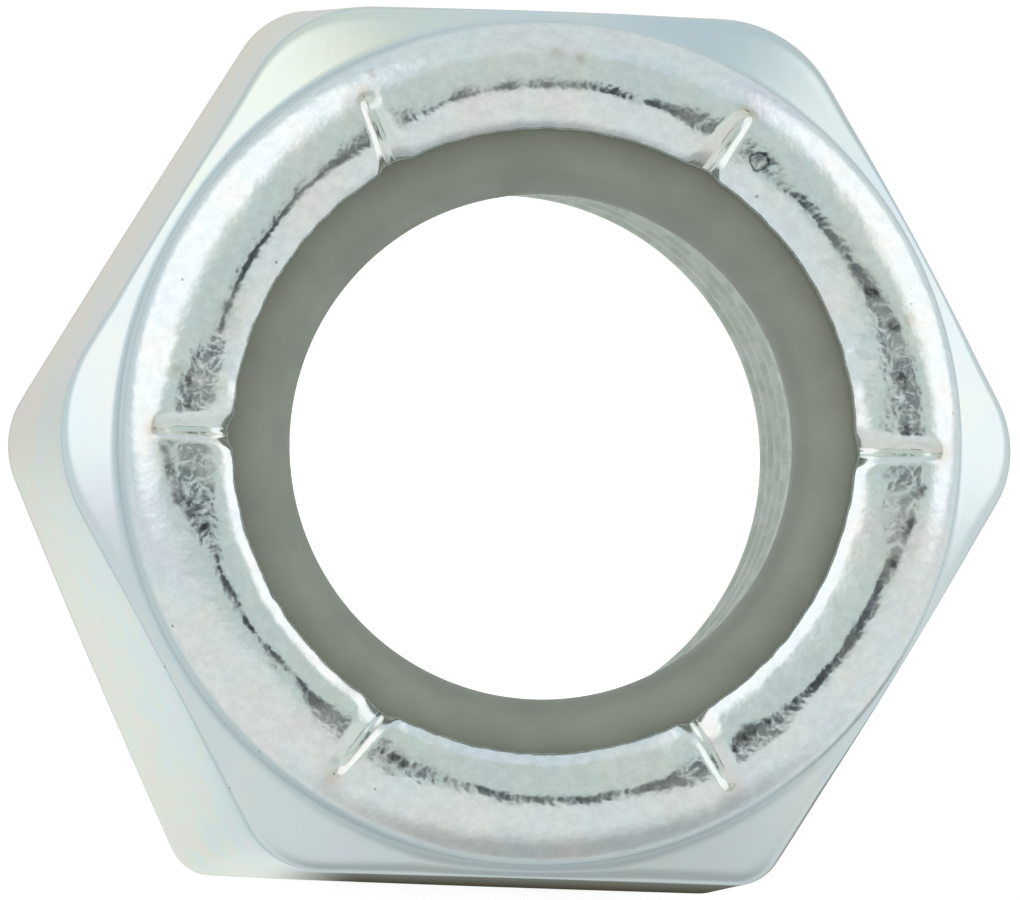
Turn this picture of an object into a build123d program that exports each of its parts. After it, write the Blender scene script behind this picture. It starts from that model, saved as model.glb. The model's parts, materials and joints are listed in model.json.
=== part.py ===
from build123d import *
import os
from math import atan2, cos, degrees, hypot, radians, sqrt, tan

# Hexagon lock nut with a nylon insert, for a 7/16-20 fine thread.
# Millimetres and degrees. The origin is the centre of the bearing face, +Z runs
# along the thread towards the insert, and one hexagon corner points along +X.

# Thread: the bore is left smooth, at the crests of the nut's own thread
thread_major_diameter = 11.11
thread_height = 0.635
entry_countersink_width = 0.55
entry_countersink_angle = 45.0
upper_chamfer = 0.45

# Hexagon body
across_flats = 15.875
hexagon_sides = 6
corner_radius = 1.6
hex_height = 9.4
bearing_setback = 0.39
bearing_chamfer_angle = 30.0
shoulder_angle = 30.0
shoulder_edge_radius = 0.2

# Collar that stands on the shoulder and is rolled in over the insert
collar_setback = 0.24
collar_wall = 0.75
collar_straight_height = 0.97
foot_groove_depth = 0.09
shoulder_land = 0.12
crown_height = 0.83
crest_share = 0.43
lip_clearance = 0.135
lip_edge_drop = 0.35
lip_edge_thickness = 0.42
lip_edge_radius = 0.18
lip_bend_radius = 0.5

# Crimps pressed into the rolled lip, one at each hexagon corner
crimp_depth = 0.18
crimp_margin = 0.5
crimp_side_angle = 35.0
crimp_ridge_width = 0.22
crimp_ridge_height = 0.06
crimp_bite_width = 0.66
crimp_bite_depth = 0.17

# Nylon insert
insert_height = 1.6
insert_overhang = 0.295
insert_mouth_height = 0.75
insert_entry_chamfer = 0.35
insert_clearance = 0.02

# Largest share of a wall that one rounded edge may take
rounding_limit = 0.45

# Sizes that follow from the ones above
flat_radius = across_flats / 2
corner_reach = flat_radius / cos(radians(180 / hexagon_sides))
thread_major_radius = thread_major_diameter / 2
bore_radius = thread_major_radius - thread_height
collar_radius = flat_radius - collar_setback
pocket_radius = collar_radius - collar_wall
lip_opening_radius = thread_major_radius + lip_clearance
crest_radius = lip_opening_radius + crest_share * (collar_radius - lip_opening_radius)
crown_width = collar_radius - crest_radius
crown_base_z = hex_height + collar_straight_height
nut_height = crown_base_z + crown_height
lip_edge_z = nut_height - lip_edge_drop
lip_underside_z = lip_edge_z - lip_edge_thickness
pocket_floor_z = lip_underside_z - insert_height


def turned(section):
    """A section drawn in radius and height, carried round the thread axis."""
    return revolve(Plane.XZ * section, Axis.Z)


def rounded(section, radius, height, rounding):
    """The section with its corner nearest to a radius and height rounded."""
    corner = section.vertices().sort_by_distance((radius, height, 0))[0]
    return fillet(corner, rounding)


def lip_bend():
    """Inner radius of the rolled bend, as far as the width of the lip allows."""
    return min(lip_bend_radius, rounding_limit * (pocket_radius - lip_opening_radius))


def hexagon_bar():
    """Hexagon with rounded corners, chamfered at its bearing face and turned to a cone at its top."""
    hexagon = RegularPolygon(flat_radius, hexagon_sides, major_radius=False)
    bar = extrude(fillet(hexagon.vertices(), corner_radius), hex_height)
    bearing_radius = flat_radius - bearing_setback
    chamfer_rise = (corner_reach - bearing_radius) * tan(radians(bearing_chamfer_angle))
    land_radius = collar_radius + shoulder_land
    shoulder_drop = (corner_reach - land_radius) * tan(radians(shoulder_angle))
    envelope = Polyline(
        (0, 0),
        (bearing_radius, 0),
        (corner_reach, chamfer_rise),
        (corner_reach, hex_height - shoulder_drop),
        (land_radius, hex_height),
        (0, hex_height),
        close=True,
    )
    bar &= turned(make_face(envelope))
    land_rim = bar.edges().group_by(Axis.Z)[-1]
    shoulder_cone = bar.faces().filter_by(GeomType.CONE).sort_by(Axis.Z)[-1]
    narrowest_cone = (flat_radius - land_radius) / cos(radians(shoulder_angle))
    edge_radius = min(shoulder_edge_radius, narrowest_cone / tan(radians(shoulder_angle)))
    return fillet(shoulder_cone.edges() - land_rim, edge_radius)


def bore_and_pocket():
    """The smooth bore, widened at both ends, and the counterbore that the insert sits in."""
    entry_radius = thread_major_radius + entry_countersink_width
    entry_depth = (entry_radius - bore_radius) / tan(radians(entry_countersink_angle))
    outline = Polyline(
        (0, 0),
        (entry_radius, 0),
        (bore_radius, entry_depth),
        (bore_radius, pocket_floor_z - upper_chamfer),
        (bore_radius + upper_chamfer, pocket_floor_z),
        (pocket_radius, pocket_floor_z),
        (pocket_radius, hex_height),
        (0, hex_height),
        close=True,
    )
    return turned(make_face(outline))


def rolled_collar():
    """Thin wall that rises round the insert, bends over it and ends in a rounded lip."""
    outer_bend = EllipticalCenterArc(
        (crest_radius, crown_base_z), crown_width, crown_height, start_angle=0, arc_size=90
    )
    inner_slope = TangentArc(
        (crest_radius, nut_height), (lip_opening_radius, lip_edge_z), tangent=(-1, 0)
    )
    inside = Polyline(
        (lip_opening_radius, lip_edge_z),
        (lip_opening_radius, lip_underside_z),
        (pocket_radius, lip_underside_z),
        (pocket_radius, pocket_floor_z),
        (collar_radius, pocket_floor_z),
        (collar_radius, crown_base_z),
    )
    section = make_face([outer_bend, inner_slope, inside])
    section = rounded(section, pocket_radius, lip_underside_z, lip_bend())
    edge_rounding = min(lip_edge_radius, rounding_limit * lip_edge_thickness)
    section = rounded(section, lip_opening_radius, lip_edge_z, edge_rounding)
    return turned(section)


def foot_groove():
    """Fine groove at the foot of the collar, as wide as the shoulder's land."""
    outline = Polyline(
        (collar_radius, hex_height),
        (collar_radius, hex_height - foot_groove_depth),
        (collar_radius + shoulder_land, hex_height),
        close=True,
    )
    return turned(make_face(outline))


def crimp():
    """One press mark: a channel that rises to run out on the crown, and a bite in the lip's edge."""
    start_z = lip_edge_z - crimp_depth
    end_radius = collar_radius - crimp_margin
    end_offset = (end_radius - crest_radius) / crown_width
    end_z = crown_base_z + crown_height * sqrt(1 - end_offset**2)
    run = end_radius - lip_opening_radius
    rise = end_z - start_z
    cut_height = crown_height
    side_run = cut_height * tan(radians(crimp_side_angle))
    half_ridge = crimp_ridge_width / 2
    channel = Polyline(
        (-half_ridge - side_run, cut_height),
        (-half_ridge, 0),
        (0, crimp_ridge_height),
        (half_ridge, 0),
        (half_ridge + side_run, cut_height),
        close=True,
    )
    blade = extrude(Plane.YZ * make_face(channel), hypot(run, rise), both=True)
    blade = Pos(lip_opening_radius, 0, start_z) * Rot(0, -degrees(atan2(rise, run)), 0) * blade

    bite_radius = crimp_bite_width**2 / (8 * crimp_bite_depth) + crimp_bite_depth / 2
    bite_height = nut_height - lip_underside_z
    bite_centre = Pos(
        lip_opening_radius + crimp_bite_depth - bite_radius, 0, lip_underside_z + bite_height / 2
    )
    return blade + bite_centre * Cylinder(bite_radius, bite_height)


def steel_body():
    """The one cold formed steel piece: hexagon, bore, pocket, collar and crimped lip."""
    body = hexagon_bar() - bore_and_pocket() + rolled_collar() - foot_groove()
    for side in range(hexagon_sides):
        body -= Rot(0, 0, side * 360 / hexagon_sides) * crimp()
    return body


def nylon_insert():
    """Plain ring that sits on the pocket floor, its mouth rounded out to the edge of the lip."""
    outer_radius = pocket_radius - insert_clearance
    inner_radius = bore_radius - insert_overhang
    top_z = lip_underside_z - insert_clearance
    mouth_z = top_z - insert_mouth_height
    mouth_width = lip_opening_radius - inner_radius
    mouth = EllipticalCenterArc(
        (lip_opening_radius, mouth_z), mouth_width, insert_mouth_height, start_angle=90, arc_size=90
    )
    bend_chamfer = lip_bend()
    sides = Polyline(
        (inner_radius, mouth_z),
        (inner_radius, pocket_floor_z + insert_entry_chamfer),
        (inner_radius + insert_entry_chamfer, pocket_floor_z),
        (outer_radius, pocket_floor_z),
        (outer_radius, top_z - bend_chamfer),
        (outer_radius - bend_chamfer, top_z),
        (lip_opening_radius, top_z),
    )
    return turned(make_face([mouth, sides]))


os.makedirs("parts", exist_ok=True)
export_step(steel_body(), "parts/steel_body.step")
export_step(nylon_insert(), "parts/nylon_insert.step")
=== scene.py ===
import json
import bpy
import bmesh
import numpy as np
from mathutils import Matrix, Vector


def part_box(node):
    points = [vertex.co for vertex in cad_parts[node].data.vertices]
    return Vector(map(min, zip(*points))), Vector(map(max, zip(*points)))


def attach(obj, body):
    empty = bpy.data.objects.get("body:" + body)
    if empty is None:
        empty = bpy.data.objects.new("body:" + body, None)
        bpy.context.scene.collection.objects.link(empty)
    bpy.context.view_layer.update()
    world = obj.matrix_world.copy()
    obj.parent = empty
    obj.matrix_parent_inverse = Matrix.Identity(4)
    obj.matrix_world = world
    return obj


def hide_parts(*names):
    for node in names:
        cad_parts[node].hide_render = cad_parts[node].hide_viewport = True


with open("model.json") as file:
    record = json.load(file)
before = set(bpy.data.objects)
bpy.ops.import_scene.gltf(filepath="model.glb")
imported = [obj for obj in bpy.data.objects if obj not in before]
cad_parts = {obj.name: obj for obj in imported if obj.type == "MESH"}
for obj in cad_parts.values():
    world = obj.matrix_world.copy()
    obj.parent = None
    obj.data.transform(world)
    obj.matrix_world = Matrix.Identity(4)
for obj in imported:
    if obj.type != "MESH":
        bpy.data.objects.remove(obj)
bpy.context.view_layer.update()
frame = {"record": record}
mm = 0.001   # the shapes below are worked out in millimetres, the meshes are in metres
sixth = np.pi / 3

# sizes that the frame gives
steelHigh = np.array(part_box("steel_body")[1]) / mm
ringLow, ringHigh = (np.array(corner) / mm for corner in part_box("nylon_insert"))
mounts = {mount["name"]: mount["dims"] for mount in frame["record"]["mounts"]}
flatRadius = steelHigh[1]
nutHeight = steelHigh[2]
pocketFloor = ringLow[2]
crestRadius = mounts["thread"]["r_mm"]
insertRadius = mounts["insert_bore"]["r_mm"]

# and those it doesn't give
collarSetback = 0.24      # from a flat to the collar's side
insertClearance = 0.02    # between the ring and its pocket
lipRadius = 5.69          # of the opening in the rolled lip
collarRadius = flatRadius - collarSetback
pocketRadius = ringHigh[0] + insertClearance
print("frame read: nut", round(2 * flatRadius, 3), "mm across flats,", round(nutHeight, 3), "mm high")

hexagon = {
    "height": 9.4,
    # one value for each corner, counterclockwise from the corner at +X; fitted, then set one by one
    "footRadii": (1.9, 2.3, 1.5, 1.6, 0.75, 0.9),
    "topRadii": (1.9, 2.3, 2.5, 3.2, 1.6, 0.9),
    # each corner's shift: outwards, sideways
    "footShift": ((-0.06, 0.16), (0, 0), (0.30, -0.27), (0.18, -0.12), (0.52, -0.95), (0, -0.05)),
    "topShift": ((-0.06, 0.12), (0, 0), (0, 0), (0, 0), (0, 0), (-0.06, -0.11)),
    "bearingSetback": 0.39,
    "coneSlope": np.tan(np.radians(30)),
    "coneMargin": 0.12,      # the cone would reach the hexagon's height this far outside the collar
    "collarFillet": 0.24,
    "bearingEdge": 0.15,
    "lowerEdge": 0.2,
    "upperEdge": (0.26, 0.36),   # least away from its heading, most towards it
    "upperEdgeHeading": 30.0,
}

lip = {
    "crownHeight": 0.83,
    "edgeDrop": 0.35,
    "thickness": 0.42,
    "crestShare": 0.37,      # where the crown is highest, from the lip's edge to the collar's side
    "crestSharpness": 0.27,
    "innerSlope": 0.34,      # the crown's fall towards its edge
    "edgeRounding": 0.6,
    "edgeEnd": 48.0,         # the rounding stops at this steepness, where the edge was sheared
    "raggedness": 0.009,     # how far the cut edge wanders in and out
    "waviness": 0.004,       # slow unevenness of the rolled crown
    # how far the crown's top ring wanders outwards, every 15 degrees from +X;
    # a list made by a separate fitting program, not worked out from other sizes
    "crestOffsets": (0.06, 0.12, -0.015, -0.08, -0.015, 0.005, 0.07, 0.05, -0.06, -0.055, -0.085, -0.11,
                     0.08, 0.0, -0.02, -0.11, -0.055, -0.015, 0.08, 0.125, 0.115, 0.125, 0.165, 0.17),
    "crestWander": 0.012,
    "cutLead": 0.04,         # the sheared edge starts this far below the rounding
    "pocketBend": 0.5,       # inside the pocket, where the collar bends over
    "edgeReach": 0.3,        # how far from the edge its raggedness fades out
}

crownTopRadius = lipRadius + lip["crestShare"] * (collarRadius - lipRadius)

crimp = {
    "depth": 0.125,
    "lipDepth": 0.06,        # more of it at the lip's edge
    "halfWidths": (0.38, 0.27, 0.21),   # at the lip, on the crest and at the outer end
    "steepSide": (-1, -1, 1, 1, 1, -1),   # this side of the V is narrower, the other wider
    "steepness": (0.7, 1.15),
    "ridgeWidth": 0.16,
    "ridgeShare": 0.45,
    "biteWidth": 0.85,
    "biteDepth": 0.07,
    "softness": 0.09,
    # one value for each corner, counterclockwise from +X
    "twist": (1.0, -4.0, -6.0, -1.5, -7.0, 1.0),
    "margin": (0.47, 0.66, 0.64, 0.58, 0.5, 0.5),   # from the outer end to the collar's side
    "shift": (-0.02, 0.02, 0.0, 0.03, 0.0, -0.02),
    # where the crown is pressed flat beside each crimp: how deep, and its reach either way in degrees
    "pressDepth": (0.075, 0.02, 0.012, 0.07, 0.025, 0.03),
    "pressBefore": (17, 9, 7, 15, 8, 8),
    "pressAfter": (27, 8, 7, 20, 13, 13),
    "pressTilt": (-0.8, 2.5, 2.0, 2.2, 2.5, 2.5),   # it leans this way, in degrees
    "pressHeading": 345.0,
    "pressSoftness": 0.025,
    "pressFade": (0.85, 1.6),    # shares of its reach between which it runs out
    "lipReach": 0.5,             # how far from the lip's edge the crimp goes deeper
    "endFade": (0.05, -0.13),    # the crimp runs out between these places about its outer end
    "ridgeFade": (-0.1, -0.4),
    "fullTrough": 0.05,          # a trough this deep has its full painted reflection tint
    # flattened crown has a coarser finish: full at this depth, fading along, inwards and outwards
    "fullPress": 0.045,
    "roughFade": (0.7, 1.2),
    "roughFromLip": (0.12, 0.4),
    "roughFromCrest": (0.75, 0.4),
    "smudgeBeyond": 0.06,        # a brownish mark lies this far beyond the outer end
    "smudgeSize": (0.17, 0.22),
}

thread = {
    "pitch": 1.27,
    "height": 0.635,
    "entryWidth": 0.55,
    "exitChamfer": 0.45,
    # one turn as shares of the pitch, the depth there as shares of the height, and where its rows lie
    "phases": (0, 0.035, 0.215, 0.25, 0.54, 0.58, 0.67, 0.71, 1.0),
    "depths": (0.03, 0, 0, 0.03, 0.97, 1, 1, 0.97, 0.03),
    "rowPhases": (0.0, 0.035, 0.215, 0.25, 0.395, 0.54, 0.58, 0.67, 0.71, 0.855),
}

insert = {
    "boreOffset": (0.07, -0.05),   # the moulded ring's hole is a little off centre
    "mouthHeight": 0.75,
    "entryChamfer": 0.35,
    "shoulderBend": 0.48,
}


# one wave is a sum of cosines whole in the angle, so that it closes round the nut
def wave(angle, along, seed, slowest, fastest, count):
    random = np.random.default_rng(seed)
    total = np.zeros(np.broadcast(angle, along).shape)
    for turn in random.integers(slowest, fastest, count):
        phase, drift, size = random.uniform(0, 2 * np.pi), random.uniform(-6, 6), random.uniform(0.5, 1)
        total = total + size * np.cos(turn * angle + drift * along + phase)
    return total / np.sqrt(count / 2)


def smoothStep(low, high, value):
    share = np.clip((value - low) / (high - low), 0, 1)
    return share * share * (3 - 2 * share)


# the unit vector at a tilt from straight up, towards an azimuth
def heading(tilt, azimuth):
    tilt, azimuth = np.radians(tilt), np.radians(azimuth)
    return np.array([np.sin(tilt) * np.cos(azimuth), np.sin(tilt) * np.sin(azimuth), np.cos(tilt)])


# radius of a six-sided outline at each angle: the nearest flat's line, or the circle that rounds a corner
def hexagonRadius(angle, shifts, radii):
    corner = np.arange(6) * sixth
    outward = np.stack([np.cos(corner), np.sin(corner)], axis=1)
    sideways = np.stack([-np.sin(corner), np.cos(corner)], axis=1)
    shift = np.array(shifts)
    tips = outward * (flatRadius / np.cos(np.pi / 6) + shift[:, :1]) + sideways * shift[:, 1:]
    along = np.roll(tips, -1, axis=0) - tips
    along /= np.linalg.norm(along, axis=1)[:, None]
    normal = np.stack([along[:, 1], -along[:, 0]], axis=1)
    reach = np.sum(normal * tips, axis=1)
    ray = np.stack([np.cos(angle), np.sin(angle)])
    facing = normal @ ray
    radius = np.where(facing > 0.2, reach[:, None] / np.maximum(facing, 0.2), np.inf).min(axis=0)
    for k in range(6):
        rounding = radii[k]
        halfTurn = np.arccos(np.clip(normal[k - 1] @ normal[k], -1, 1)) / 2
        bisector = normal[k - 1] + normal[k]
        bisector /= np.linalg.norm(bisector)
        centre = tips[k] - bisector * rounding / np.cos(halfTurn)
        first, last = (np.arctan2(*(centre + rounding * n)[::-1]) for n in (normal[k - 1], normal[k]))
        half = (last - first) % (2 * np.pi) / 2
        middle = first + half
        off = np.abs((angle - middle + np.pi) % (2 * np.pi) - np.pi)
        across = centre @ ray
        onCircle = across + np.sqrt(np.maximum(across**2 - centre @ centre + rounding**2, 0))
        radius = np.where(off < half, onCircle, radius)
    return radius


# shares of a span, closer together at its ends
def spread(count):
    return 0.5 - 0.5 * np.cos(np.pi * np.linspace(0, 1, count))


# rows of (radius, height) along a path whose corners are eased by parabolas; every column has its own path
def easedPath(corners, easings, cornerRows, spanRows):
    corners = np.array(np.broadcast_arrays(*[np.stack(np.broadcast_arrays(*c)) for c in corners]))
    steps = corners[1:] - corners[:-1]
    lengths = np.maximum(np.hypot(steps[:, 0], steps[:, 1]), 1e-9)
    headings = steps / lengths[:, None]
    trims = [np.zeros_like(lengths[0])]
    for k, easing in enumerate(easings):
        trims.append(np.minimum(easing, 0.49 * np.minimum(lengths[k], lengths[k + 1])))
    trims.append(np.zeros_like(lengths[0]))
    rows = []
    for k in range(len(steps)):
        start = corners[k] + headings[k] * trims[k]
        end = corners[k + 1] - headings[k] * trims[k + 1]
        rows += [start + (end - start) * share for share in spread(spanRows[k])]
        if k < len(steps) - 1:
            out = corners[k + 1] + headings[k + 1] * trims[k + 1]
            for share in np.linspace(0, 1, cornerRows[k] + 2)[1:-1]:
                rest = 1 - share
                rows.append(rest**2 * end + 2 * share * rest * corners[k + 1] + share**2 * out)
    return rows


# columns stand close together at each crimp and wider apart between
def columnAngles():
    near = np.radians(4.8)
    fine = np.linspace(-near, near, 45)
    wide = np.linspace(near, sixth - near, 42)[1:-1]
    sector = np.concatenate([fine, wide])
    angles = np.concatenate([sector + k * sixth for k in range(6)])
    return np.append(angles, 2 * np.pi - near)


# the bore: at each height the widest of the entry cone, the exit cone and the thread
def boreRadius(height, angle):
    turns = (height - thread["pitch"] * angle / (2 * np.pi)) / thread["pitch"]
    rootRadius = crestRadius + thread["height"]
    profile = crestRadius + thread["height"] * np.interp(turns % 1, thread["phases"], thread["depths"])
    entry = rootRadius + thread["entryWidth"] - height
    exitCone = crestRadius + thread["exitChamfer"] - (pocketFloor - height)
    return np.maximum(np.maximum(profile, entry), exitCone)


# rows that climb with the helix, so that each crest and root keeps to its own row
def boreRows(angle):
    top = int(np.ceil(pocketFloor / thread["pitch"]))
    levels = (np.arange(top, -2, -1)[:, None] + np.array(thread["rowPhases"])[None, ::-1]).ravel()
    rows = []
    for level in levels:
        height = np.clip((level + angle / (2 * np.pi)) * thread["pitch"], 0, pocketFloor)
        rows.append(np.stack([boreRadius(height, angle), height]))
    return rows


# the steel's closed section in each column: bearing face, flat, cone, collar, crown, lip, pocket and bore
def steelRows(angle):
    foot = hexagonRadius(angle, hexagon["footShift"], hexagon["footRadii"])
    top = hexagonRadius(angle, hexagon["topShift"], hexagon["topRadii"])
    bearing = flatRadius - hexagon["bearingSetback"]
    land = collarRadius + hexagon["coneMargin"]
    slope = hexagon["coneSlope"]
    entry = crestRadius + thread["height"] + thread["entryWidth"]
    crownBase = nutHeight - lip["crownHeight"]
    still = np.zeros_like(angle)
    least, most = hexagon["upperEdge"]
    upperEdge = least + (most - least) * (0.5 + 0.5 * np.cos(angle - np.radians(hexagon["upperEdgeHeading"])))
    body = easedPath(
        [
            (entry + still, still),
            (bearing + still, still),
            (foot, (foot - bearing) * slope),
            (top, hexagon["height"] - (top - land) * slope),
            (collarRadius + still, hexagon["height"] + (land - collarRadius) * slope + still),
            (collarRadius + still, crownBase + still),
        ],
        [hexagon["bearingEdge"], hexagon["lowerEdge"], upperEdge, hexagon["collarFillet"]],
        cornerRows=(2, 3, 5, 7),
        spanRows=(3, 4, 6, 5, 4),
    )
    crown = []
    offsets = np.array(lip["crestOffsets"])
    place = angle / (2 * np.pi) * len(offsets)
    before = np.floor(place).astype(int)
    share = smoothStep(0, 1, place - before)
    offset = offsets[before % len(offsets)] * (1 - share) + offsets[(before + 1) % len(offsets)] * share
    crest = crownTopRadius + offset + lip["crestWander"] * wave(angle, 0, 23, 14, 60, 16)
    for turn in np.radians(np.linspace(0, 90, 24))[1:]:
        crown.append(np.stack([
            crest + (collarRadius - crest) * np.cos(turn),
            crownBase + lip["crownHeight"] * np.sin(turn) + still,
        ]))
    # inwards it falls along a hyperbola, drop = slope (sqrt(x^2 + s^2) - s),
    # then an arc bends down to the cut
    sharp, rounding = lip["crestSharpness"], lip["edgeRounding"]
    slopeTurn, lastTurn = np.arctan(lip["innerSlope"]), np.radians(lip["edgeEnd"])
    edgeStart = lipRadius + rounding * (np.sin(lastTurn) - np.sin(slopeTurn))
    for share in np.linspace(0, 1, 15)[1:] ** 1.3:
        across = (crest - edgeStart) * share
        drop = lip["innerSlope"] * (np.sqrt(across**2 + sharp**2) - sharp)
        crown.append(np.stack([crest - across, nutHeight - drop]))
    centreHeight = nutHeight - drop - rounding * np.cos(slopeTurn)
    for turn in np.linspace(slopeTurn, lastTurn, 7)[1:]:
        crown.append(np.stack([
            lipRadius + rounding * (np.sin(lastTurn) - np.sin(turn)) + still,
            centreHeight + rounding * np.cos(turn),
        ]))
    edge = crown[-1][1] - lip["cutLead"]
    under = nutHeight - lip["edgeDrop"] - lip["thickness"]
    inside = easedPath(
        [
            tuple(crown[-1]),
            (lipRadius + still, edge + still),
            (lipRadius + still, under + still),
            (pocketRadius + still, under + still),
            (pocketRadius + still, pocketFloor + still),
            (boreRadius(pocketFloor + still, angle), pocketFloor + still),
        ],
        [0.02, 0.1, lip["pocketBend"], 0.08],
        cornerRows=(1, 2, 3, 1),
        spanRows=(2, 3, 2, 2, 2),
    )
    return np.array(body + crown + inside[1:] + boreRows(angle)), len(body)


# the crimps, the bite in the edge, the flattened crown, the ragged cut and the slow waves
def shapeLip(angle, radius, height, firstRow):
    edge = nutHeight - lip["edgeDrop"]
    under = edge - lip["thickness"]
    onLip = (height > under - 1e-6) & (np.arange(len(height))[:, None] >= firstRow)
    corner = np.round(angle / sixth).astype(int)
    off = angle - corner * sixth
    pick = {key: np.array(crimp[key])[corner % 6] for key in
            ("twist", "shift", "margin", "steepSide", "pressDepth", "pressBefore", "pressAfter", "pressTilt")}
    twisted = (radius - crownTopRadius) * np.sin(np.radians(pick["twist"]))
    side = radius * np.sin(off) - pick["shift"] - twisted
    reach = radius * np.cos(off)

    # crown waves and the ragged edge
    nearLip = np.exp(-(((radius - lipRadius) / lip["edgeReach"]) ** 2))
    radius += onLip * nearLip * lip["raggedness"] * wave(angle, 0, 7, 14, 95, 24)
    height += onLip * smoothStep(under, edge, height) * lip["waviness"] * wave(angle, radius, 11, 5, 60, 30)

    # the press flattens the crown beside each crimp: the crown under a leaning plane that rises away from it
    lean = np.tan(np.radians(pick["pressTilt"]))
    turned = (radius - crownTopRadius) * np.cos(angle - np.radians(crimp["pressHeading"]))
    extent = np.radians(np.where(off < 0, pick["pressBefore"], pick["pressAfter"]))
    ceiling = nutHeight - pick["pressDepth"] * (1 - (off / extent) ** 2) - lean * turned
    soft = crimp["pressSoftness"]
    pressed = onLip * soft * np.logaddexp(0, (height - ceiling) / soft)
    pressed = pressed * (1 - smoothStep(*crimp["pressFade"], np.abs(off) / extent))
    height -= pressed

    # the crimp follows the crown: a V with a ridge along its floor, wider at the lip, with a blunt outer end
    endReach = collarRadius - pick["margin"]
    half = np.interp((reach - lipRadius) / (endReach - lipRadius), (0, 0.45, 1), crimp["halfWidths"])
    narrow, wide = crimp["steepness"]
    half = half * np.where(side * pick["steepSide"] > 0, narrow, wide)
    deep = crimp["depth"] + crimp["lipDepth"] * smoothStep(lipRadius + crimp["lipReach"], lipRadius, reach)
    deep = deep * smoothStep(*crimp["endFade"], reach - endReach)
    valley = 1 - np.abs(side) / half
    valley = crimp["softness"] * np.logaddexp(0, valley / crimp["softness"])
    ridge = crimp["ridgeShare"] * np.maximum(1 - np.abs(side) / (crimp["ridgeWidth"] / 2), 0)
    ridge = ridge * smoothStep(*crimp["ridgeFade"], reach - endReach)
    trough = onLip * deep * np.maximum(valley - ridge, 0) * smoothStep(under, edge - 0.05, height)
    height -= trough

    # the bite is one cosine wave wide
    inBite = np.abs(side) < crimp["biteWidth"] / 2
    bite = crimp["biteDepth"] * inBite * (0.5 + 0.5 * np.cos(2 * np.pi * side / crimp["biteWidth"]))
    radius += onLip * bite * np.exp(-((np.maximum(radius - lipRadius, 0) / lip["edgeReach"]) ** 2))

    # marks for the finish: inside a crimp (its sign is the side, which picks each flank's painted reflection
    # tint), on flattened crown, and beyond a crimp
    rough = np.clip(pick["pressDepth"] / crimp["fullPress"], 0, 1)
    rough = rough * (1 - smoothStep(*crimp["roughFade"], np.abs(off) / extent))
    rough = rough * smoothStep(*crimp["roughFromLip"], radius - lipRadius)
    rough = rough * smoothStep(*crimp["roughFromCrest"], radius - crownTopRadius)
    beyond = reach - endReach - crimp["smudgeBeyond"]
    long, broad = crimp["smudgeSize"]
    return {
        "trough": np.clip(trough / crimp["fullTrough"], 0, 1) * np.sign(side),
        "pressed": onLip * rough,
        "smudge": onLip * (height > under + 0.1) * np.exp(-((beyond / long) ** 2) - (side / broad) ** 2),
    }


# quads between neighbouring rows and columns; the last row meets the first and the last column the first
def gridMesh(name, vertices, marks):
    rowCount, columnCount = vertices.shape[:2]
    index = np.arange(rowCount * columnCount).reshape(rowCount, columnCount)
    lower, upper = index, np.roll(index, -1, axis=0)
    quads = np.stack([lower[:, :-1], lower[:, 1:], upper[:, 1:], upper[:, :-1]], axis=2).reshape(-1, 4)
    mesh = bpy.data.meshes.new(name)
    mesh.vertices.add(vertices.size // 3)
    mesh.vertices.foreach_set("co", vertices.reshape(-1).astype(np.float32))
    mesh.loops.add(quads.size)
    mesh.loops.foreach_set("vertex_index", quads.reshape(-1))
    mesh.polygons.add(len(quads))
    mesh.polygons.foreach_set("loop_start", np.arange(0, quads.size, 4))
    mesh.polygons.foreach_set("loop_total", np.full(len(quads), 4))
    for mark, values in marks.items():
        layer = mesh.attributes.new(mark, "FLOAT", "POINT")
        layer.data.foreach_set("value", values.astype(np.float32).ravel())
    mesh.update()
    mesh.validate()
    work = bmesh.new()
    work.from_mesh(mesh)
    bmesh.ops.remove_doubles(work, verts=work.verts, dist=2e-7)
    bmesh.ops.dissolve_degenerate(work, edges=work.edges, dist=1e-8)
    for face in work.faces:
        face.smooth = True
    openEdges = sum(1 for e in work.edges if len(e.link_faces) != 2)
    print(name, "vertices", len(work.verts), "faces", len(work.faces), "open or crossed edges", openEdges)
    work.to_mesh(mesh)
    work.free()
    return mesh


def turnedVertices(angle, rows):
    return np.stack([rows[:, 0] * np.cos(angle), rows[:, 0] * np.sin(angle), rows[:, 1]], axis=2) * mm


def steelNut():
    angle = columnAngles()
    rows, crownRow = steelRows(angle)
    marks = shapeLip(angle, rows[:, 0], rows[:, 1], crownRow)
    return gridMesh("steelNut", turnedVertices(angle, rows), marks)


# the nylon ring: its mouth is a quarter ellipse from the bore out to the edge of the lip
def nylonRing():
    angle = np.linspace(0, 2 * np.pi, 361)
    still = np.zeros_like(angle)
    mouth, chamfer, bend = insert["mouthHeight"], insert["entryChamfer"], insert["shoulderBend"]
    outer, top = ringHigh[0], ringHigh[2]
    offX, offY = insert["boreOffset"]
    bore = insertRadius + offX * np.cos(angle) + offY * np.sin(angle)
    rows = easedPath(
        [
            (bore, top - mouth + still),
            (bore, pocketFloor + chamfer + still),
            (bore + chamfer, pocketFloor + still),
            (outer + still, pocketFloor + still),
            (outer + still, top - bend + still),
            (outer - bend + still, top + still),
            (lipRadius + still, top + still),
        ],
        [0.1, 0.1, 0.05, 0.05, 0.05],
        cornerRows=(3, 3, 2, 2, 2),
        spanRows=(3, 3, 3, 3, 3, 3),
    )
    for turn in np.radians(np.linspace(90, 180, 26))[1:-1]:
        rows.append(np.stack([
            lipRadius + (lipRadius - bore) * np.cos(turn),
            top - mouth + mouth * np.sin(turn) + still,
        ]))
    return gridMesh("nylonRing", turnedVertices(angle, np.array(rows)[::-1]), {})


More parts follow.
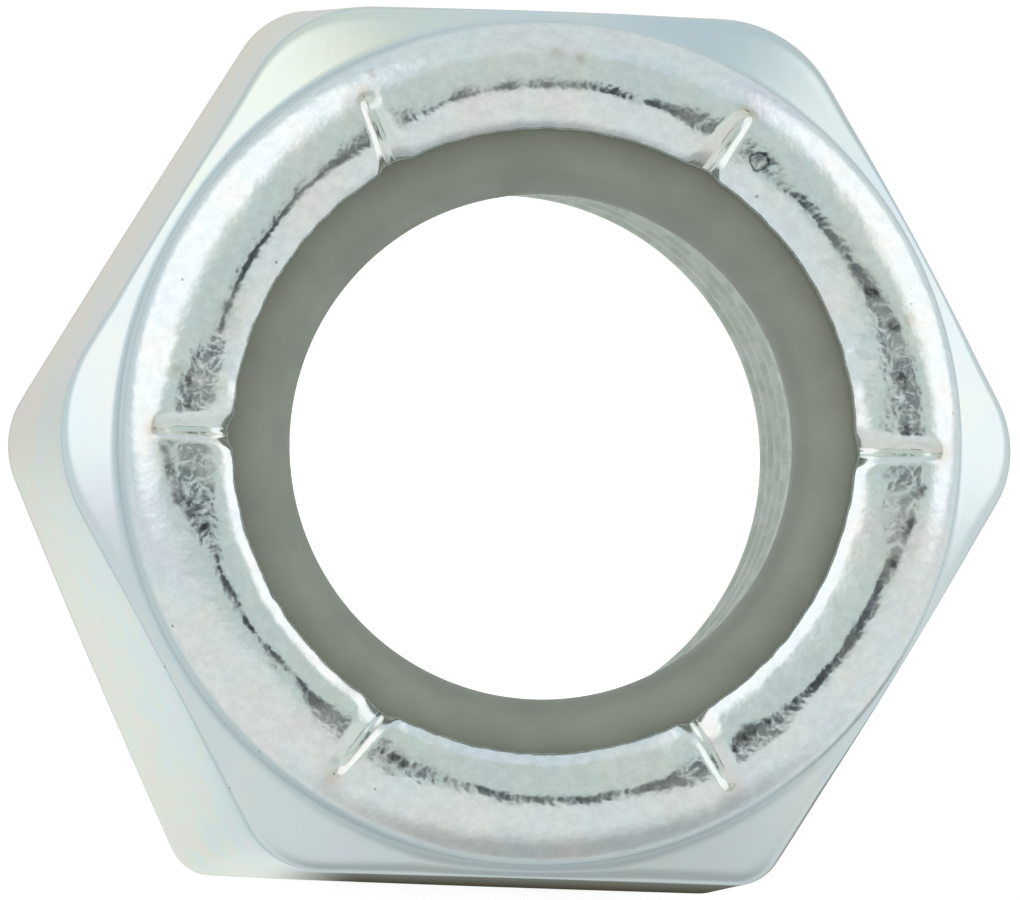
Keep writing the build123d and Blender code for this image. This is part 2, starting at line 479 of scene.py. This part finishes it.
# one node of a tree; an input is a value or another node's output
def addNode(tree, kind, inputs, **settings):
    made = tree.nodes.new("ShaderNode" + kind)
    for key, value in settings.items():
        setattr(made, key, value)
    for key, value in inputs.items():
        if isinstance(value, bpy.types.NodeSocket):
            tree.links.new(value, made.inputs[key])
        else:
            made.inputs[key].default_value = value
    return made


def calculate(tree, operation, *values):
    return addNode(tree, "Math", dict(enumerate(values)), operation=operation).outputs[0]


def product(tree, first, *others):
    for other in others:
        first = calculate(tree, "MULTIPLY", first, other)
    return first


def strongest(tree, marks):
    most, *others = marks
    for mark in others:
        most = calculate(tree, "MAXIMUM", mark, most)
    return most


def vectorMath(tree, operation, *values):
    return addNode(tree, "VectorMath", dict(enumerate(values)), operation=operation).outputs[0]


# the vector math whose answer is one number
def measured(tree, operation, *values):
    return addNode(tree, "VectorMath", dict(enumerate(values)), operation=operation).outputs["Value"]


def attribute(tree, name):
    return addNode(tree, "Attribute", {}, attribute_name=name).outputs["Fac"]


def mixedValue(tree, share, first, second):
    return addNode(tree, "Mix", {0: share, 2: first, 3: second}).outputs[0]


# mixes two colours, each a tuple of three or another node's output
def blended(tree, share, first, second, way="MIX"):
    first, second = ((*colour, 1) if isinstance(colour, tuple) else colour for colour in (first, second))
    made = addNode(tree, "Mix", {0: share, 6: first, 7: second}, data_type="RGBA", blend_type=way)
    return made.outputs[2]


def ramped(tree, value, low, high, first=0.0, last=1.0):
    made = addNode(tree, "MapRange", {0: value, 1: low, 2: high, 3: first, 4: last})
    made.interpolation_type = "SMOOTHSTEP"
    return made.outputs[0]


def colourRamp(tree, value, stops):
    made = addNode(tree, "ValToRGB", {0: value})
    elements = made.color_ramp.elements
    while len(elements) < len(stops):
        elements.new(0.5)
    for element, (place, colour) in zip(elements, stops):
        element.position = place
        element.color = (*colour, 1)
    return made.outputs[0]


def noise(tree, vector, scale, detail=2.0, roughness=0.5, distortion=0.0):
    made = addNode(tree, "TexNoise", {"Vector": vector, "Scale": scale, "Detail": detail,
                                      "Roughness": roughness, "Distortion": distortion})
    return made.outputs[0]


def newMaterial(name):
    material = bpy.data.materials.new(name)
    material.use_nodes = True
    tree = material.node_tree
    shader = tree.nodes["Principled BSDF"]
    coordinates = tree.nodes.new("ShaderNodeTexCoord").outputs["Object"]
    inMm = addNode(tree, "VectorMath", {0: coordinates, "Scale": 1 / mm}, operation="SCALE").outputs[0]
    return material, tree, shader, inMm


zincFinish = {
    # thin film over the zinc: place on the ramp and colour
    "crownFilm": (
        (0.30, (0.72, 0.73, 0.775)),    # lavender
        (0.42, (0.70, 0.755, 0.775)),   # sky
        (0.50, (0.725, 0.765, 0.755)),  # pale green
        (0.58, (0.755, 0.76, 0.735)),   # cream
        (0.70, (0.75, 0.73, 0.735)),    # rose
    ),
    "flatFilm": (
        (0.14, (0.78, 0.735, 0.73)),    # rose
        (0.32, (0.785, 0.765, 0.70)),   # cream
        (0.47, (0.715, 0.785, 0.72)),   # pale green
        (0.60, (0.68, 0.775, 0.78)),    # cyan
        (0.74, (0.70, 0.745, 0.79)),    # sky
        (0.88, (0.745, 0.735, 0.78)),   # lavender
    ),
    "filmRise": (0.24, 0.66),   # where the ramp is read at the foot and at the shoulder
    "filmSpread": 1.25,         # how far the noise moves it
    "coneFilm": (
        (0.34, (0.67, 0.69, 0.725)),    # lavender
        (0.46, (0.645, 0.71, 0.725)),   # sky
        (0.66, (0.69, 0.72, 0.68)),     # cream
    ),
    # painted shade: the cone is darker towards one heading; it is also tinted warmer towards another
    "coneShade": (0.85, 0.90, 0.925),
    "coneShadeHeading": 52.0,
    "coneWarm": (1.04, 1.03, 0.94),
    "coneWarmHeading": 126.0,
    "footTint": (1.0, 0.98, 0.94),
    "shoulderTint": (0.95, 0.99, 1.02),
    "toneReach": (0.8, 0.97),       # cosines of the angle from that heading
    # greyer and duller round the foot of the collar: where it comes and goes, from the collar's side
    "wallFilm": (0.61, 0.69, 0.715),
    "wallRoughness": 0.42,
    "wallInside": (-0.12, -0.01),
    "wallOutside": (0.16, 0.03),
    "shoulderStart": (0.02, 0.1),   # the film of the cone and the flats starts here, outside the collar
    "boreStart": (5.66, 5.57),      # and the bore's here, from the axis
    "steepness": (0.6, 0.2),        # upward parts of the normal, on the cone and on a flat
    # scales of the noises per millimetre, larger is finer
    "driftScale": 0.5,
    "coneScale": 0.4,
    "mottleScale": 5.0,
    "mottleTone": (0.93, 1.05),
    "flatScale": (1.3, 1.3, 0.6),   # the film's blobs are drawn out up the flats
    "boreColours": ((0.84, 0.88, 0.85), (0.97, 0.98, 0.965)),
    "borePatchScale": 2.2,
    "borePatchEdge": (0.38, 0.62),
    # painted reflection: the crimp's two flanks tinted warm and cool, as the tent they would mirror
    "troughWarm": (0.72, 0.69, 0.64),
    "troughCool": (0.66, 0.72, 0.68),
    "troughShare": 0.55,
    "smudgeColour": (0.60, 0.52, 0.44),
    "smudgeShare": (0.2, 0.8),
    "speckColour": (0.22, 0.20, 0.19),
    "speckScale": 2.4,
    "speckSize": (0.10, 0.04),      # of a cell, where a speck ends and where it is full
    "speckRarity": (0.88, 0.94),    # only cells that draw a number above these have one
    "speckShare": 0.75,
    "crownRoughness": (0.12, 0.2),
    "flatRoughness": 0.17,
    "boreRoughness": 0.72,
    # relief: noise scales per millimetre and heights in metres
    "grainScale": 6.0,
    "grainHeight": 0.0000052,
    "rollScale": 2.6,
    "rollHeight": 0.000008,
    "rollOnFlats": 0.3,
    "pressedGrainScale": 4.4,
    "pressedGrainHeight": 0.000018,
    "pressedRoughness": 0.06,
    # marks on the crown, their outlines bent by a noise, from these heights above the hexagon
    "crownStart": (0.4, 0.6),
    "bendScale": 4.0,
    "bendReach": 0.25,
    "blotColour": (0.07, 0.07, 0.075),
    "blotShare": 0.85,
    # painted reflection: dark spots on the crown's top ring, where small dents would mirror the tent's dark
    # opening; azimuth in degrees, distance from the axis, radius
    "blots": ((305.4, 6.49, 0.2), (307.0, 6.43, 0.2), (310.2, 6.52, 0.13), (303.2, 6.6, 0.1),
              (244.0, 6.4, 0.09), (246.0, 6.42, 0.14), (248.0, 6.46, 0.16)),
    "loop": (54.3, 6.43, 0.17),     # a painted dark reflection ring, given like a spot
    "loopWidth": 0.05,
    # painted reflection: dark streaks beside the crimps, where the pressed crown would mirror the tent's dark
    # opening; azimuth and distance of each end, half width
    "smears": (((168.0, 6.62), (176.0, 6.56), 0.12), ((182.5, 6.97), (190.5, 6.80), 0.16),
               ((190.5, 6.78), (196.0, 6.42), 0.18), ((33.0, 6.48), (20.0, 6.74), 0.12),
               ((20.0, 6.74), (3.5, 6.62), 0.15), ((354.5, 6.97), (342.5, 6.74), 0.13)),
    "smearColour": (0.14, 0.14, 0.145),
    "smearScale": 4.5,
    "smearShare": (0.2, 0.88),
    "stainColour": (0.50, 0.43, 0.35),
    "stainShare": 0.45,
    "stainSharpness": 0.1,
    "stains": ((116.9, 7.38, 0.13), (90.0, 7.08, 0.22), (86.5, 7.02, 0.15),
               (20.0, 7.05, 0.16), (171.0, 6.9, 0.2)),
}


# distance from the thread's axis in millimetres
def axisDistance(tree, inMm):
    return measured(tree, "LENGTH", vectorMath(tree, "MULTIPLY", inMm, (1.0, 1.0, 0.0)))


# cosine of the angle between a place and a heading, seen from the thread's axis
def towardHeading(tree, inMm, azimuth):
    ahead = measured(tree, "DOT_PRODUCT", inMm, tuple(heading(90, azimuth)))
    return calculate(tree, "DIVIDE", ahead, axisDistance(tree, inMm))


# a point of the crown at an azimuth in degrees and a distance from the axis
def crownPoint(azimuth, reach):
    turn = np.radians(azimuth)
    return np.array((reach * np.cos(turn), reach * np.sin(turn), 0.0))


# nearness to a point of the crown: one at its centre, none outside its radius
def spot(tree, place, azimuth, reach, size, sharpness=0.25):
    away = measured(tree, "DISTANCE", place, tuple(crownPoint(azimuth, reach)))
    return ramped(tree, away, size, size * sharpness)


# nearness to a straight stroke between two points of the crown
def stroke(tree, place, start, end, halfWidth):
    first = crownPoint(*start)
    length = crownPoint(*end) - first
    ahead = vectorMath(tree, "SUBTRACT", place, tuple(first))
    share = ramped(tree, measured(tree, "DOT_PRODUCT", ahead, tuple(length / (length @ length))), 0.0, 1.0)
    nearest = vectorMath(tree, "MULTIPLY_ADD", share, tuple(length), tuple(first))
    return ramped(tree, measured(tree, "DISTANCE", place, nearest), halfWidth, halfWidth * 0.3)


def grey(tree, value):
    return addNode(tree, "CombineColor", {0: value, 1: value, 2: value}).outputs[0]


# the film's colours: crown, flats, cone, the collar's foot and the bore
def zincFilm(tree, inMm, drift, mottle, outside, onWall, inBore):
    film = colourRamp(tree, drift, zincFinish["crownFilm"])
    mottled = grey(tree, ramped(tree, mottle, 0.25, 0.75, *zincFinish["mottleTone"]))
    film = blended(tree, 1.0, film, mottled, "MULTIPLY")

    height = addNode(tree, "SeparateXYZ", {0: inMm}).outputs[2]
    rise = ramped(tree, height, 0.0, hexagon["height"], *zincFinish["filmRise"])
    drawn = vectorMath(tree, "MULTIPLY", inMm, zincFinish["flatScale"])
    moved = calculate(tree, "SUBTRACT", noise(tree, drawn, 1.0, 2.0, 0.45, 0.3), 0.5)
    rise = calculate(tree, "MULTIPLY_ADD", moved, zincFinish["filmSpread"], rise)
    flatFilm = colourRamp(tree, rise, zincFinish["flatFilm"])
    upFlat = ramped(tree, height, 0.5, hexagon["height"] - 1.0)
    tint = blended(tree, upFlat, zincFinish["footTint"], zincFinish["shoulderTint"])
    flatFilm = blended(tree, 1.0, flatFilm, tint, "MULTIPLY")

    coneFilm = colourRamp(tree, noise(tree, inMm, zincFinish["coneScale"], 3.0, 0.6), zincFinish["coneFilm"])
    # painted shade darkens the cone towards one heading; the other tone tints it warmer
    for tone in ("coneShade", "coneWarm"):
        toward = towardHeading(tree, inMm, zincFinish[tone + "Heading"])
        toward = ramped(tree, toward, *zincFinish["toneReach"])
        coneFilm = blended(tree, toward, coneFilm, zincFinish[tone], "MULTIPLY")

    facing = addNode(tree, "SeparateXYZ", {0: addNode(tree, "NewGeometry", {}).outputs["Normal"]}).outputs[2]
    steep = ramped(tree, calculate(tree, "ABSOLUTE", facing), *zincFinish["steepness"])
    film = blended(tree, outside, film, blended(tree, steep, coneFilm, flatFilm))
    film = blended(tree, onWall, film, zincFinish["wallFilm"])
    patches = noise(tree, inMm, zincFinish["borePatchScale"], 3.0, 0.6)
    patches = ramped(tree, patches, *zincFinish["borePatchEdge"])
    return blended(tree, inBore, film, blended(tree, patches, *zincFinish["boreColours"]))


# what lies over the film: crimp flanks tinted as painted reflections, brownish marks beyond the crimps' ends,
# specks, the crown's stains, and dark spots, a ring and streaks on the crown painted as reflections of the
# tent's dark opening
def zincMarks(tree, inMm, film, mottle):
    trough = attribute(tree, "trough")
    # painted reflection: one flank of each crimp tinted warm, the other cool
    for tone, side in (("troughWarm", 1), ("troughCool", -1)):
        share = product(tree, ramped(tree, trough, 0.1 * side, 0.9 * side), zincFinish["troughShare"])
        film = blended(tree, share, film, zincFinish[tone])
    endMarkBreakup = ramped(tree, mottle, 0.3, 0.6, *zincFinish["smudgeShare"])
    film = blended(tree, product(tree, attribute(tree, "smudge"), endMarkBreakup), film, zincFinish["smudgeColour"])

    cells = addNode(tree, "TexVoronoi", {"Vector": inMm, "Scale": zincFinish["speckScale"]})
    chance = addNode(tree, "SeparateColor", {0: cells.outputs["Color"]}).outputs[0]
    near = ramped(tree, cells.outputs["Distance"], *zincFinish["speckSize"])
    chosen = ramped(tree, chance, *zincFinish["speckRarity"])
    speck = product(tree, near, chosen, zincFinish["speckShare"])
    film = blended(tree, speck, film, zincFinish["speckColour"])

    bend = addNode(tree, "TexNoise", {"Vector": inMm, "Scale": zincFinish["bendScale"]}).outputs["Color"]
    bend = vectorMath(tree, "SUBTRACT", bend, (0.5, 0.5, 0.5))
    reach = zincFinish["bendReach"]
    bent = vectorMath(tree, "MULTIPLY_ADD", bend, (reach, reach, 0.0), inMm)
    bent = vectorMath(tree, "MULTIPLY", bent, (1.0, 1.0, 0.0))
    height = addNode(tree, "SeparateXYZ", {0: inMm}).outputs[2]
    onCrown = ramped(tree, calculate(tree, "SUBTRACT", height, hexagon["height"]), *zincFinish["crownStart"])

    sharpness = zincFinish["stainSharpness"]
    stained = strongest(tree, [spot(tree, bent, *stain, sharpness) for stain in zincFinish["stains"]])
    stained = product(tree, stained, onCrown, zincFinish["stainShare"])
    film = blended(tree, stained, film, zincFinish["stainColour"])

    # painted reflection: dark spots and a dark ring on the crown's top ring, where dents would mirror the
    # tent's dark opening
    turn, away, size = zincFinish["loop"]
    loop = calculate(tree, "SUBTRACT", spot(tree, bent, turn, away, size + zincFinish["loopWidth"], 0.78),
                     spot(tree, bent, turn, away, size, 0.65))
    darkReflection = strongest(tree, [loop] + [spot(tree, bent, *reflectionSpot) for reflectionSpot in zincFinish["blots"]])
    darkReflection = product(tree, darkReflection, onCrown, zincFinish["blotShare"])
    film = blended(tree, darkReflection, film, zincFinish["blotColour"])

    # painted reflection: dark streaks over the pressed crown beside the crimps, broken up by a noise
    darkStreaks = strongest(tree, [stroke(tree, bent, *darkStreak) for darkStreak in zincFinish["smears"]])
    broken = noise(tree, inMm, zincFinish["smearScale"], 3.0, 0.7)
    broken = ramped(tree, broken, 0.34, 0.54, *zincFinish["smearShare"])
    return blended(tree, product(tree, darkStreaks, onCrown, broken), film, zincFinish["smearColour"])


# bright zinc: the film and its marks, sharper on the crown and dull in the bore, with a fine orange peel
def zincMaterial():
    material, tree, shader, inMm = newMaterial("brightZinc")
    across = axisDistance(tree, inMm)
    fromCollar = calculate(tree, "SUBTRACT", across, collarRadius)
    outside = ramped(tree, fromCollar, *zincFinish["shoulderStart"])
    onWall = product(tree, ramped(tree, fromCollar, *zincFinish["wallInside"]),
                     ramped(tree, fromCollar, *zincFinish["wallOutside"]))
    inBore = ramped(tree, across, *zincFinish["boreStart"])
    drift = noise(tree, inMm, zincFinish["driftScale"], 3.0, 0.6)
    mottle = noise(tree, inMm, zincFinish["mottleScale"], 2.0, 0.7)
    film = zincFilm(tree, inMm, drift, mottle, outside, onWall, inBore)
    tree.links.new(zincMarks(tree, inMm, film, mottle), shader.inputs["Base Color"])
    shader.inputs["Metallic"].default_value = 1.0

    pressed = attribute(tree, "pressed")
    rough = ramped(tree, drift, 0.35, 0.65, *zincFinish["crownRoughness"])
    rough = calculate(tree, "MULTIPLY_ADD", pressed, zincFinish["pressedRoughness"], rough)
    for share, name in ((outside, "flatRoughness"), (inBore, "boreRoughness"), (onWall, "wallRoughness")):
        rough = mixedValue(tree, share, rough, zincFinish[name])
    tree.links.new(rough, shader.inputs["Roughness"])

    # fine grain inside the collar, coarser where the press flattened the crown, and slow waves all over
    grain = product(tree, noise(tree, inMm, zincFinish["grainScale"], 1.0, 0.6), zincFinish["grainHeight"],
                    calculate(tree, "SUBTRACT", 1.0, outside))
    hammered = noise(tree, inMm, zincFinish["pressedGrainScale"], 1.5, 0.5, 0.3)
    hammered = product(tree, hammered, zincFinish["pressedGrainHeight"])
    grain = calculate(tree, "MULTIPLY_ADD", hammered, pressed, grain)
    roll = product(tree, noise(tree, inMm, zincFinish["rollScale"], 1.0), zincFinish["rollHeight"],
                   calculate(tree, "MULTIPLY_ADD", outside, zincFinish["rollOnFlats"] - 1.0, 1.0))
    bump = addNode(tree, "Bump", {"Height": calculate(tree, "ADD", grain, roll), "Distance": 1.0})
    tree.links.new(bump.outputs[0], shader.inputs["Normal"])
    return material


nylonFinish = {
    "rim": (0.315, 0.33, 0.29),      # paler where the bore's edge is thin
    "inner": (0.258, 0.272, 0.228),
    # painted shade: darker towards the steel lip, beside which the ring sits
    "outer": (0.248, 0.254, 0.204),
    "rimWidth": 0.3,
    # scales of the noises per millimetre, larger is finer
    "flowScale": 1.1,
    "flowTone": (0.93, 1.06),
    "sheenScale": 3.0,
    "roughness": (0.38, 0.5),
    "skinScale": 7.0,
    "skinHeight": 0.000003,
}


# moulded nylon: darker and more olive towards the lip, the darkening painted shade beside the steel lip;
# faint flow and a satin skin
def nylonMaterial():
    material, tree, shader, inMm = newMaterial("greyNylon")
    across = axisDistance(tree, inMm)
    rimEnd = insertRadius + nylonFinish["rimWidth"]
    fromRim = ramped(tree, across, insertRadius, rimEnd)
    colour = blended(tree, fromRim, nylonFinish["rim"], nylonFinish["inner"])
    # painted shade: darker and more olive towards the lip
    colour = blended(tree, ramped(tree, across, rimEnd, lipRadius), colour, nylonFinish["outer"])
    flow = noise(tree, inMm, nylonFinish["flowScale"], 3.0, 0.5, 0.4)
    flow = grey(tree, ramped(tree, flow, 0.25, 0.75, *nylonFinish["flowTone"]))
    tree.links.new(blended(tree, 1.0, colour, flow, "MULTIPLY"), shader.inputs["Base Color"])
    sheen = noise(tree, inMm, nylonFinish["sheenScale"], 3.0)
    tree.links.new(ramped(tree, sheen, 0.3, 0.7, *nylonFinish["roughness"]), shader.inputs["Roughness"])
    skin = noise(tree, inMm, nylonFinish["skinScale"], 3.0, 0.6)
    bump = addNode(tree, "Bump", {"Height": skin, "Distance": nylonFinish["skinHeight"]})
    tree.links.new(bump.outputs[0], shader.inputs["Normal"])
    return material


# one piece of the nut: it rides on the body, stands for a solid and takes its material
def placed(name, mesh, node, material):
    piece = bpy.data.objects.new(name, mesh)
    bpy.context.scene.collection.objects.link(piece)
    mesh.materials.append(material)
    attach(piece, "root")
    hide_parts(node)
    return piece


view = {
    # degrees: from straight down, towards which side, and round the line of sight
    "tilt": 5.6,
    "azimuth": 204.0,
    "roll": -1.85,
    "distance": 400.0,
    "sensorWidth": 36.0,
    "pixelsPerMillimetre": 54.9,
    "lipCentre": (544.2, 441.0),    # the pixel that the middle of the opening falls on
    "imageSize": (1020, 900),
}


def addCamera():
    towards = heading(view["tilt"], view["azimuth"])
    roll = np.radians(view["roll"])
    right = np.array([1.0, 0, 0]) - towards[0] * towards
    right /= np.linalg.norm(right)
    up = np.cross(towards, right)
    right, up = np.cos(roll) * right - np.sin(roll) * up, np.sin(roll) * right + np.cos(roll) * up
    scale = view["pixelsPerMillimetre"]
    width, height = view["imageSize"]
    lipCentre = np.array([0, 0, nutHeight - lip["edgeDrop"]])
    offX = (view["lipCentre"][0] - width / 2) / scale
    offY = (height / 2 - view["lipCentre"][1]) / scale
    place = lipCentre + view["distance"] * towards - offX * right - offY * up
    data = bpy.data.cameras.new("camera")
    data.sensor_width = view["sensorWidth"]
    data.lens = scale * view["distance"] * view["sensorWidth"] / width
    camera = bpy.data.objects.new("camera", data)
    matrix = Matrix.Identity(4)
    for row in range(3):
        matrix[row][0], matrix[row][1], matrix[row][2] = right[row], up[row], towards[row]
        matrix[row][3] = place[row] * mm
    camera.matrix_world = matrix
    bpy.context.scene.collection.objects.link(camera)
    bpy.context.scene.camera = camera


studio = {
    "lens": (10.4, 3.7),            # tilt and azimuth of the dark opening in the tent, in degrees
    "lensRadius": (6.3, 8.6),       # fully dark inside the first, gone outside the second
    "lensColour": (0.045, 0.05, 0.06),
    # the ceiling: one colour towards a heading, another away from it
    "upHeading": 95.0,
    "upSide": (0.68, 0.76, 0.725),
    "downSide": (0.87, 0.905, 0.89),
    "sideChange": (-0.17, -0.06),
    "ceiling": (10.0, 335.0),
    "ceilingEdge": (45.0, 52.0),
    "highWall": (0.78, 0.86, 0.89),
    "lowWall": (0.88, 0.925, 0.925),
    "wallChange": (-0.7, 0.3),
    # tilt, azimuth, radius and strength
    "softboxes": ((76.0, 24.0, 38.0, 0.45), (68.0, 150.0, 44.0, 0.45)),
    "boxColour": (1.13, 1.0, 0.97),
    "boxEdge": 0.6,                 # full inside this share of the radius
    "darkCard": (92.0, 280.0, 52.0, 0.42),
    "cardEdge": 0.3,
}


# a light tent: grey ceiling on one side and paler on the other, white walls with two soft boxes,
# a dark card and one dark opening
def addTent():
    world = bpy.data.worlds.new("tent")
    world.use_nodes = True
    tree = world.node_tree
    ray = tree.nodes.new("ShaderNodeTexCoord").outputs["Generated"]

    def along(tilt, azimuth):
        return measured(tree, "DOT_PRODUCT", ray, tuple(heading(tilt, azimuth)))

    def degreesFrom(tilt, azimuth):
        return product(tree, calculate(tree, "ARCCOSINE", along(tilt, azimuth)), 180 / np.pi)

    upward = along(90, studio["upHeading"])
    ceiling = blended(tree, ramped(tree, upward, *studio["sideChange"]), studio["downSide"], studio["upSide"])
    walls = blended(tree, ramped(tree, upward, *studio["wallChange"]), studio["lowWall"], studio["highWall"])
    wallShare = ramped(tree, degreesFrom(*studio["ceiling"]), *studio["ceilingEdge"])
    colour = blended(tree, wallShare, ceiling, walls)
    for tilt, azimuth, size, strength in studio["softboxes"]:
        glow = ramped(tree, degreesFrom(tilt, azimuth), size, size * studio["boxEdge"], 0.0, strength)
        box = blended(tree, 1.0, studio["boxColour"], grey(tree, glow), "MULTIPLY")
        colour = blended(tree, 1.0, colour, box, "ADD")
    tilt, azimuth, size, strength = studio["darkCard"]
    shade = ramped(tree, degreesFrom(tilt, azimuth), size, size * studio["cardEdge"], 1.0, 1.0 - strength)
    colour = blended(tree, 1.0, colour, grey(tree, shade), "MULTIPLY")
    darkInside, darkEnd = studio["lensRadius"]
    dark = ramped(tree, degreesFrom(*studio["lens"]), darkEnd, darkInside)
    colour = blended(tree, dark, colour, studio["lensColour"])
    tree.links.new(colour, tree.nodes["Background"].inputs["Color"])
    world.cycles.sampling_method = "NONE"   # every light here is wide and soft
    bpy.context.scene.world = world
    bpy.context.scene.view_settings.view_transform = "Standard"


floorLight = {
    # height under the bearing face and half width, in metres, of the floor that is seen and the reflected one
    "seenPlane": (-0.00001, 0.6),
    "reflectedPlane": (-0.00002, 0.018),
    "roughness": 0.7,
    "seenColour": (0.4, 0.4, 0.4),
    "seenGlow": (1.05, 0.74),          # under the bore and elsewhere
    # millimetres from the thread's axis
    "boreEdge": (5.2, 6.6),
    "farFrom": (9.5, 14.0),
    # colours that the nut reflects
    "underBore": (0.50, 0.53, 0.50),
    "warmSide": (0.69, 0.69, 0.655),    # near the nut
    "coolSide": (0.815, 0.87, 0.84),    # near the nut, towards the heading below
    "coolHeading": 225.0,
    "coolReach": (0.6, 0.97),           # cosines of the angle from that heading
    "far": (0.66, 0.70, 0.69),
    # the shade at the foot of the flat on the -Y side: how far out it starts, ends and pales
    "shadeAtFoot": (0.035, 0.026, 0.01),
    "shadeEdge": (0.36, 0.37, 0.32),
    "shadeFrom": (7.6, 7.7),
    "shadeTo": (12.0, 10.0),
    "shadeDepth": (8.3, 9.6),
    "shadeStart": (-4.3, -2.2),         # along the flat
}


# a glowing plane under the nut, part of the stage
def floorPlane(name, height, size):
    mesh = bpy.data.meshes.new(name)
    corners = [(x * size, y * size, height) for x, y in ((-1, -1), (1, -1), (1, 1), (-1, 1))]
    mesh.from_pydata(corners, [], [(0, 1, 2, 3)])
    floor = bpy.data.objects.new(name, mesh)
    bpy.context.scene.collection.objects.link(floor)
    material, tree, shader, inMm = newMaterial(name)
    material.cycles.emission_sampling = "NONE"
    shader.inputs["Roughness"].default_value = floorLight["roughness"]
    mesh.materials.append(material)
    return floor, tree, shader, inMm


# the floor that is seen glows; the one that is only reflected is brighter towards one heading
# and dark at the foot of one flat
def addFloor():
    seen, tree, shader, inMm = floorPlane("paleFloor", *floorLight["seenPlane"])
    shader.inputs["Base Color"].default_value = (*floorLight["seenColour"], 1)
    shader.inputs["Emission Color"].default_value = (1, 1, 1, 1)
    glow = ramped(tree, axisDistance(tree, inMm), *floorLight["boreEdge"], *floorLight["seenGlow"])
    tree.links.new(glow, shader.inputs["Emission Strength"])
    seen.visible_glossy = False
    seen.visible_diffuse = False

    reflected, tree, shader, inMm = floorPlane("reflectedFloor", *floorLight["reflectedPlane"])
    shader.inputs["Base Color"].default_value = (0, 0, 0, 1)
    cool = ramped(tree, towardHeading(tree, inMm, floorLight["coolHeading"]), *floorLight["coolReach"])
    colour = blended(tree, cool, floorLight["warmSide"], floorLight["coolSide"])
    away = axisDistance(tree, inMm)
    colour = blended(tree, ramped(tree, away, *floorLight["farFrom"]), colour, floorLight["far"])
    right, up = addNode(tree, "SeparateXYZ", {0: inMm}).outputs[:2]
    below = product(tree, up, -1.0)
    paling = ramped(tree, below, *floorLight["shadeDepth"])
    shade = blended(tree, paling, floorLight["shadeAtFoot"], floorLight["shadeEdge"])
    inShade = product(tree, ramped(tree, below, *floorLight["shadeFrom"]),
                      ramped(tree, below, *floorLight["shadeTo"]),
                      ramped(tree, right, *floorLight["shadeStart"]))
    colour = blended(tree, inShade, colour, shade)
    outsideBore = ramped(tree, away, *floorLight["boreEdge"])
    colour = blended(tree, outsideBore, floorLight["underBore"], colour)
    tree.links.new(colour, shader.inputs["Emission Color"])
    shader.inputs["Emission Strength"].default_value = 1.0
    reflected.visible_camera = False


zinc = zincMaterial()
nylon = nylonMaterial()
print("finishes made")
placed("steelNut", steelNut(), "steel_body", zinc)
placed("nylonRing", nylonRing(), "nylon_insert", nylon)
addFloor()
addTent()
addCamera()
print("floor, tent and camera placed")
